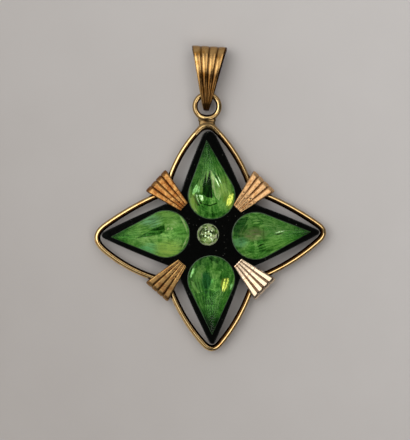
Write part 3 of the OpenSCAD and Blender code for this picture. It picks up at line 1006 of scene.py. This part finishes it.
def cut_stone(outline, cut):
    """A stone from its girdle outline, about the culet at the origin and the middle of the girdle at
    height 0. The crown is glass, the edge is ground, and the pavilion is the foiled back, with flashes
    among its facets. It gives the points, the faces, what each face shows and its tone."""
    draw = random.Random(cut["seed"])
    points, faces, kinds = cut_crown(outline, cut)
    tones = [0.0] * len(faces)
    n, half, touch = len(outline), GIRDLE / 2, 1e-4

    def depth_at(place):
        """How deep the pavilion lies below a place."""
        return half + (cut["pavilion"] - half) * (1 - share_out(place, outline) ** 1.25)

    # The facets of the back are laid out flat, cut where they cross, and lowered to the pavilion. A
    # flash leans its own way about its middle.
    flat, edges = lay_out_back(outline, cut, draw)
    made, _, triangles, _, _, _ = delaunay_2d_cdt(flat, edges, [list(range(n))], 1, touch)
    leaning = [(corners, middle_of(corners), lean) for _, _, lean, corners in cut["marks"] if lean]
    spot = {}
    for k, p in enumerate(made):
        if k < n and (p - outline[k]).length < touch:
            spot[k] = k
            continue
        spot[k] = len(points)
        depth = depth_at(p)
        for corners, middle, lean in leaning:
            if inside(middle + (p - middle) * 0.995, corners):
                depth = depth_at(middle) + (p - middle).dot(lean)
        points.append(Vector((p.x, p.y, -depth)))

    # Facets of the same ring and sector share a tone, which differs less towards a pear's tip
    sectors = n // 2
    drawn = {}
    for corners in triangles:
        middle = middle_of([made[c] for c in corners])
        out = share_out(middle, outline)
        level = sum(out > reach for reach in cut["rings"])
        sector = int(math.degrees(math.atan2(middle.y, middle.x)) % 360 * sectors / 360)
        key = (level, sector)
        if key not in drawn:
            drawn[key] = cut["contrast"] * draw.uniform(-1, 1)
        tone, kind = cut["tone"] + drawn[key] * (0.3 if middle.x > STONE_W / 2 else 1.0), FOIL
        for own_tone, own_kind, _, shape in cut["marks"]:
            if inside(middle, shape):
                tone, kind = own_tone, own_kind
        faces.append(tuple(spot[c] for c in corners))
        kinds.append(kind)
        tones.append(tone)
    return points, faces, kinds, tones


def set_stone(name, node, slot, made, degrees, place, materials):
    """A cut stone in its pocket, with its girdle level with the plate's top."""
    points, faces, kinds, tones = made
    obj = piece(name, turned(points, degrees, place, GIRDLE_Z), faces, *materials)
    for polygon, kind in zip(obj.data.polygons, kinds):
        polygon.material_index = kind
        polygon.use_smooth = False
    values = obj.data.attributes.new("tone", "FLOAT", "FACE")
    values.data.foreach_set("value", tones)
    own = obj.data.attributes.new("own", "FLOAT_VECTOR", "POINT")
    own.data.foreach_set("vector", [c for p in points for c in p])
    face_outward(obj)
    finish_piece(obj, "pendant", slot, node)


def own_place(k, u, v):
    """A pixel of the photograph in the own frame of pear stone k, in millimetres."""
    flat = Vector(((u - STAR_PIXEL[0]) / PIXELS_PER_MM, (STAR_PIXEL[1] - v) / PIXELS_PER_MM))
    flat -= Vector(STONE_AT[k])
    angle = -math.radians(STONE_DIR[k])
    return Vector((flat.x * math.cos(angle) - flat.y * math.sin(angle),
                   flat.x * math.sin(angle) + flat.y * math.cos(angle)))


# Facets that stand out in each pear stone: a tone or the name of a flash, and corners in pixels of
# the photograph
# The tones of these facets paint the light and shade that the foil reflects: high tones are painted
# reflections and low ones painted shade. A flash is leaned to mirror the window, and painted pale.
RIGHT_FACETS = (
    (0.3, ((234, 226), (240, 219), (249, 218), (247, 228), (241, 236), (235, 236))),
    ("white", ((274, 233.6), (279, 231.8), (284, 231.2), (279, 232.8))),
    (0.0, ((272, 235.2), (278, 234), (283, 233.4), (277, 235.6))),
    (0.0, ((257, 247), (260, 244.4), (264, 243), (261, 246))),
    (0.8, ((252.5, 223.5), (256, 221.6), (260, 222.6), (256, 224.2))),
)
TOP_FACETS = (
    (0.12, ((207, 171), (203, 187), (202.5, 194), (206, 196.5), (207, 184))),
    (-0.02, ((210.5, 170), (207, 184), (206, 197), (212.5, 198), (212, 189), (211, 177))),
    (0.85, ((211, 170.5), (213, 172.5), (220.5, 188), (221.2, 193), (219, 200.8), (215.5, 197), (212, 187))),
    ("white", ((213, 173), (218.5, 183.5), (219.5, 187.5), (216.5, 182))),
    ("mint", ((198.5, 185), (200.5, 186.5), (199.5, 192), (194.5, 194.2), (195.2, 190))),
    ("white", ((198.5, 194.8), (202.4, 195.6), (204, 199.7), (202.4, 201.8), (200.4, 198.9))),
    (-0.05, ((194, 196.2), (197, 195.8), (200, 201.5), (202.5, 203.5), (199, 204.5))),
    (1.2, ((190.4, 198), (193.6, 197.5), (195.5, 205), (198.5, 211.5), (195, 210.5), (191.4, 205))),
    (0.9, ((220.6, 184), (223.5, 184.5), (225.5, 191), (222.5, 193.5))),
    (0.1, ((203, 203.5), (210, 205), (217, 202.5), (216.5, 204), (210, 206.5), (204, 205))),
    ("yellow", ((225.6, 196.8), (228.5, 194.9), (232, 193.6), (231.2, 199.7), (229.5, 203.6), (227, 206),
                (224.6, 204.5), (224.8, 199.7))),
)
LEFT_FACETS = (
    (0.3, ((137, 238), (146, 232.5), (164.5, 224), (165, 230), (160, 235), (148, 236))),
    (0.62, ((165.5, 227), (170, 225.5), (174, 227), (173.5, 232), (168, 233))),
    (1.05, ((166.5, 230), (168, 227), (170, 229))),
    (1.05, ((171, 227), (173.5, 228.5), (171, 230.5))),
    (1.1, ((179, 215.5), (183.5, 220.5), (186, 228.5), (186.6, 234), (184, 228.5), (181, 221.5))),
    (1.0, ((184, 240), (186.4, 236), (185, 243), (181.5, 248), (182, 244))),
)
BOTTOM_FACETS = (
    ("mint", ((193.4, 268.5), (196, 269.5), (194.8, 274), (192.5, 277.5), (190.8, 276.5))),
    (0.7, ((199.5, 271.5), (202.5, 273.5), (202.5, 278.5), (198.5, 279), (197, 276))),
    (0.8, ((192.5, 280.5), (196, 282), (202.4, 291.5), (199, 292.5), (193.5, 286))),
    (0.3, ((203.5, 273), (209.5, 272), (211, 281), (209, 289), (204.5, 288), (202.5, 280))),
    (0.6, ((211, 270), (221.5, 271), (219.5, 277), (214, 280.5), (212, 276))),
    (0.25, ((204, 291), (216, 291), (214, 304), (206, 304))),
    ("yellow", ((224.6, 278.6), (226.6, 278.2), (225.8, 283), (223.4, 288.6), (221.8, 291), (221.6, 287),
                (223, 283))),
    (0.2, ((222.6, 279.6), (224.4, 278.8), (222.8, 283), (221.4, 287), (221.4, 291), (219.8, 288),
           (220.6, 283.6))),
    ("mint", ((229, 284.6), (232, 283.8), (231, 287.4), (229, 288.6))),
)
# Soft patches on the foil: hue, amount, radius in millimetres and middle in pixels of the photograph
# Where a patch is paler than the foil it is a painted glow of reflected light; its hue is aged foil.
RIGHT_PATCHES = (
    ("#b8a488", 1.0, 1.7, (254, 234)),
    ("#a8ecc0", 0.85, 1.2, (240, 242)),
    ("#2f7432", 0.4, 2.0, (239, 228)),
    ("#3f8a38", 0.5, 2.2, (267, 234)),
    ("#a4e468", 0.3, 2.0, (276, 243)),
)
TOP_PATCHES = (
    ("#f2f26c", 1.0, 1.2, (228, 200)),
    ("#e8ff88", 1.0, 1.7, (192, 204)),
    ("#dcf88e", 0.9, 1.6, (224, 188)),
    ("#d8fcb0", 1.0, 1.0, (188, 194)),
)
LEFT_PATCHES = (
    ("#ccfee8", 1.0, 1.6, (151, 221)),
    ("#acfed4", 1.0, 1.5, (149, 249)),
    ("#ecff90", 0.9, 2.1, (168, 249)),
    ("#c8f48c", 0.65, 2.2, (168, 213)),
    ("#a4ec7c", 0.4, 1.6, (180, 232)),
)
BOTTOM_PATCHES = (
    ("#e4ea66", 1.0, 0.8, (224, 284)),
    ("#3c8a62", 0.7, 1.6, (206, 281)),
    ("#b4f090", 0.5, 1.3, (197, 284)),
)
# Each pear stone with its facets, its patches, how dark its tip is and how light its head is: the
# dark tip is painted shade, and the head's lightness is painted light
PEARS = (
    ("right", RIGHT_FACETS, RIGHT_PATCHES, 0.3, 0.52),
    ("top", TOP_FACETS, TOP_PATCHES, 0.3, 0.48),
    ("left", LEFT_FACETS, LEFT_PATCHES, 0.34, 0.6),
    ("bottom", BOTTOM_FACETS, BOTTOM_PATCHES, 0.5, 0.42),
)
PEAR_SEED = 31
PEAR_RINGS = (0.2, 0.42, 0.66, 0.87)
ROUND_SEED = 5
ROUND_RINGS = (0.24, 0.5, 0.74)
# The round stone's glints: how many, how far out they lie in turn as a share of the stone, how far
# round they start, and the corners of each as a reach and a direction
GLINTS = 11
GLINT_OUT = (0.12, 0.24)
GLINT_START = 15
GLINT_CORNERS = ((0.26, 0), (0.16, 110), (0.16, 250))


def bent(way, normal):
    """The way of a ray after it enters glass through a face."""
    ratio = 1 / GLASS_IOR
    inward = -way.dot(normal)
    return way * ratio + normal * (ratio * inward - math.sqrt(1 - ratio ** 2 * (1 - inward ** 2)))


def flash_lean(place, degrees):
    """How a facet under a place on a pear stone must lean to throw the window's light up to the eye:
    its slope in the stone's own frame. Degrees is the way the stone points. Under the table the glass
    above is level, so the lean is right for the round stone too."""
    over = Vector((0.0, 0.0, 1.0))
    radius = STONE_W / 2
    taper = radius / (STONE_L - radius)
    flank = Vector((taper, math.sqrt(1 - taper ** 2)))
    out = Vector((flank.x, math.copysign(flank.y, place.y)))
    if place.x < radius * flank.x:
        out = place.normalized()
    if place.dot(out) > PEAR_TABLE * radius:
        slope = PEAR_CROWN / (radius * (1 - PEAR_TABLE))
        over = Vector((out.x * slope, out.y * slope, 1.0)).normalized()
    light = way_to(WINDOW[0] - degrees, WINDOW[1])
    half = -(bent(Vector((0.0, 0.0, -1.0)), over) + bent(-light, over))
    return Vector((half.x, half.y)) / half.z


def pear_stones():
    """The four pear stones, each over a foil of its own."""
    for k, (side, facets, soft, tip_dark, head_tone) in enumerate(PEARS):
        marks = []
        for tone, corners in facets:
            corners = [own_place(k, u, v) for u, v in corners]
            if tone in FLASHES:
                marks.append((1.0, FLASHES[tone], flash_lean(middle_of(corners), STONE_DIR[k]), corners))
            else:
                marks.append((tone, FOIL, None, corners))
        patches = [(own_place(k, *middle), radius, hue, amount) for hue, amount, radius, middle in soft]
        foil = foiled_back("foil_behind_green_glass_" + side, GREEN_SHADES, STONE_L - STONE_W / 2,
                           tip_dark, patches, streaks=PLEATS, metal=0.3)
        made = cut_stone(pear_outline(PEAR_STEPS), {
            "seed": PEAR_SEED + k, "table": PEAR_TABLE, "crown": PEAR_CROWN,
            "pavilion": GIRDLE_Z - stone_low.z, "rings": PEAR_RINGS, "tone": head_tone,
            "contrast": 0.12, "marks": marks})
        set_stone("pear_" + side, "stone_" + side, "green_stone", made, STONE_DIR[k],
                  STAR_AT + Vector(STONE_AT[k]),
                  (GREEN_GLASS, GREEN_EDGE, foil, WHITE_FLASH, YELLOW_FLASH, MINT_FLASH))


def round_stone():
    """The round stone in the middle, which glitters with small facets. Its pleats run nearly side by
    side, from a tip that is far away."""
    foil = foiled_back("foil_painted_light_and_shade_behind_pale_green_glass", PALE_SHADES, tip_x=ROUND_D * 3, tip_dark=0.0,
                       patches=[], streaks=1.0, metal=0.2)
    glints = []
    for k in range(GLINTS):
        degrees = 360 * k / GLINTS
        middle = polar(ROUND_D * GLINT_OUT[k % 2], degrees + GLINT_START)
        corners = [middle + polar(reach, degrees + turn) for reach, turn in GLINT_CORNERS]
        glints.append((1.0, WHITE, flash_lean(middle, 0), corners))
    outline = [polar(ROUND_D / 2, 360 * k / ROUND_STEPS) for k in range(ROUND_STEPS)]
    made = cut_stone(outline, {
        "seed": ROUND_SEED, "table": ROUND_TABLE, "crown": round_high.z - GIRDLE_Z,
        "pavilion": GIRDLE_Z - round_low.z, "rings": ROUND_RINGS, "tone": 0.6, "contrast": 0.5,
        "marks": glints})
    set_stone("round_centre", "centre_stone", "pale_green_stone", made, 0, STAR_AT + ROUND_AT,
              (PALE_GLASS, PALE_EDGE, foil, WHITE_FLASH))


star_wire()
ring_and_solder()
black_star()
clamps()
fluted_bail()
pear_stones()
round_stone()


# The floor, light and camera

# How far apart the floor's clouds lie, how far each way its painted falloff of light runs, and how
# far it reaches
FLOOR_CLOUD = 12
FLOOR_PAINTED_FALLOFF = 45.0
FLOOR_REACH = 1500.0
# How far away the lamps are, and the azimuth that the room is brightest towards
LAMP_AWAY = 500.0
BRIGHT_SIDE = 130
LENS = 150
FILM = 36


def floor():
    """Pale matt card, with faint clouds, and painted light that makes it a little lighter towards the
    upper right.
    """
    material, tree = new_material("pale_matt_card")
    place = add(tree, "TexCoord").outputs["Object"]
    cloud = add(tree, "TexNoise", {"Scale": 1 / (FLOOR_CLOUD * MM), "Detail": 4.0}, {"Vector": place})
    along = add(tree, "VectorMath", {"operation": "DOT_PRODUCT", 1: (0.8 / MM, 0.6 / MM, 0)}, {0: place})
    painted_falloff = add(tree, "MapRange",
               {"From Min": -FLOOR_PAINTED_FALLOFF, "From Max": FLOOR_PAINTED_FALLOFF, "To Min": 0.0, "To Max": 0.9},
               {"Value": along.outputs["Value"]})
    level = add(tree, "Math", {"operation": "MULTIPLY_ADD", 1: 0.2}, {0: cloud, 2: painted_falloff})
    colour = add(tree, "ValToRGB", {"stops": [(0.0, linear("#b9b5b2")), (1.0, linear("#d8d6d5"))]},
                 {"Fac": level})
    shader = add(tree, "BsdfPrincipled", {"Roughness": 0.9, "Specular IOR Level": 0.1},
                 {"Base Color": colour})
    add(tree, "OutputMaterial", links={"Surface": shader})
    corners = [Vector((x, y, 0)) * FLOOR_REACH for x, y in ((-1, -1), (1, -1), (1, 1), (-1, 1))]
    obj = piece("floor", corners, [(0, 1, 2, 3)], material)


def softbox(name, azimuth, lean, spread, radiance, colour):
    """A round soft light over the star. Azimuth is from +X, lean is from the vertical, and spread is
    half its width as seen from the pendant, all in degrees. Its power is its radiance over its disc."""
    data = bpy.data.lights.new(name, "AREA")
    data.shape = "DISK"
    data.size = 2 * LAMP_AWAY * MM * math.tan(math.radians(spread))
    data.energy = radiance * math.pi * math.pi * (data.size / 2) ** 2
    data.color = linear(colour)[:3]
    obj = in_scene(name, data)
    way = way_to(azimuth, lean)
    obj.location = (Vector((STAR_AT.x, STAR_AT.y, WIRE_Z)) + way * LAMP_AWAY) * MM
    obj.rotation_mode = "QUATERNION"
    obj.rotation_quaternion = way.to_track_quat("Z", "Y")
    obj.visible_camera = False


def room():
    """A dim room round the lights: darkest straight overhead, and brighter towards the window."""
    world = bpy.data.worlds.new("dim_room")
    bpy.context.scene.world = world
    world.use_nodes = True
    tree = world.node_tree
    tree.nodes.clear()
    way = add(tree, "TexCoord").outputs["Generated"]
    up = add(tree, "SeparateXYZ", links={0: way}).outputs["Z"]
    height = add(tree, "ValToRGB",
                 {"stops": [(0.0, 0.36), (0.4, 0.4), (0.75, 0.42), (0.9, 0.44), (0.96, 0.3), (0.985, 0.16),
                            (0.996, 0.02)]}, {"Fac": up})
    window = polar(1.0, BRIGHT_SIDE)
    facing = add(tree, "VectorMath", {"operation": "DOT_PRODUCT", 1: (window.x, window.y, 0)}, {0: way})
    side = add(tree, "MapRange", {"From Min": -0.5, "From Max": 0.6, "To Min": 0.15, "To Max": 1.8},
               {"Value": facing.outputs["Value"]})
    strength = add(tree, "Math", {"operation": "MULTIPLY"}, {0: height, 1: side})
    glow = add(tree, "Background", {"Color": linear("#f7f5f4")}, {"Strength": strength})
    add(tree, "OutputWorld", links={"Surface": glow})


def lights():
    """The window and four small lamps, in the dim room."""
    softbox("window_upper_left", *WINDOW, 21, 2.0, "#fffdfa")
    softbox("lamp_lower_left", -142, 27, 13, 0.6, "#fffdfa")
    softbox("lamp_lower_right", -42, 29, 17, 1.9, "#fffaf4")
    softbox("lamp_upper_right", 50, 33, 13, 1.3, "#fff6f0")
    softbox("lamp_above", 95, 20, 8, 0.8, "#fffcf4")
    room()


def camera():
    """Straight above, as far away as makes the film's longer side hold the photograph's height."""
    data = bpy.data.cameras.new("camera")
    data.lens = LENS
    data.sensor_width = FILM
    data.clip_start = 0.01
    data.clip_end = 10
    height = PICTURE[1] / PIXELS_PER_MM * LENS / FILM
    x = STAR_AT.x + (PICTURE[0] / 2 - STAR_PIXEL[0]) / PIXELS_PER_MM
    y = STAR_AT.y - (PICTURE[1] / 2 - STAR_PIXEL[1]) / PIXELS_PER_MM
    obj = in_scene("camera", data)
    obj.location = Vector((x, y, WIRE_Z + height)) * MM
    bpy.context.scene.camera = obj


floor()
lights()
camera()
bpy.context.scene.view_settings.view_transform = "Standard"
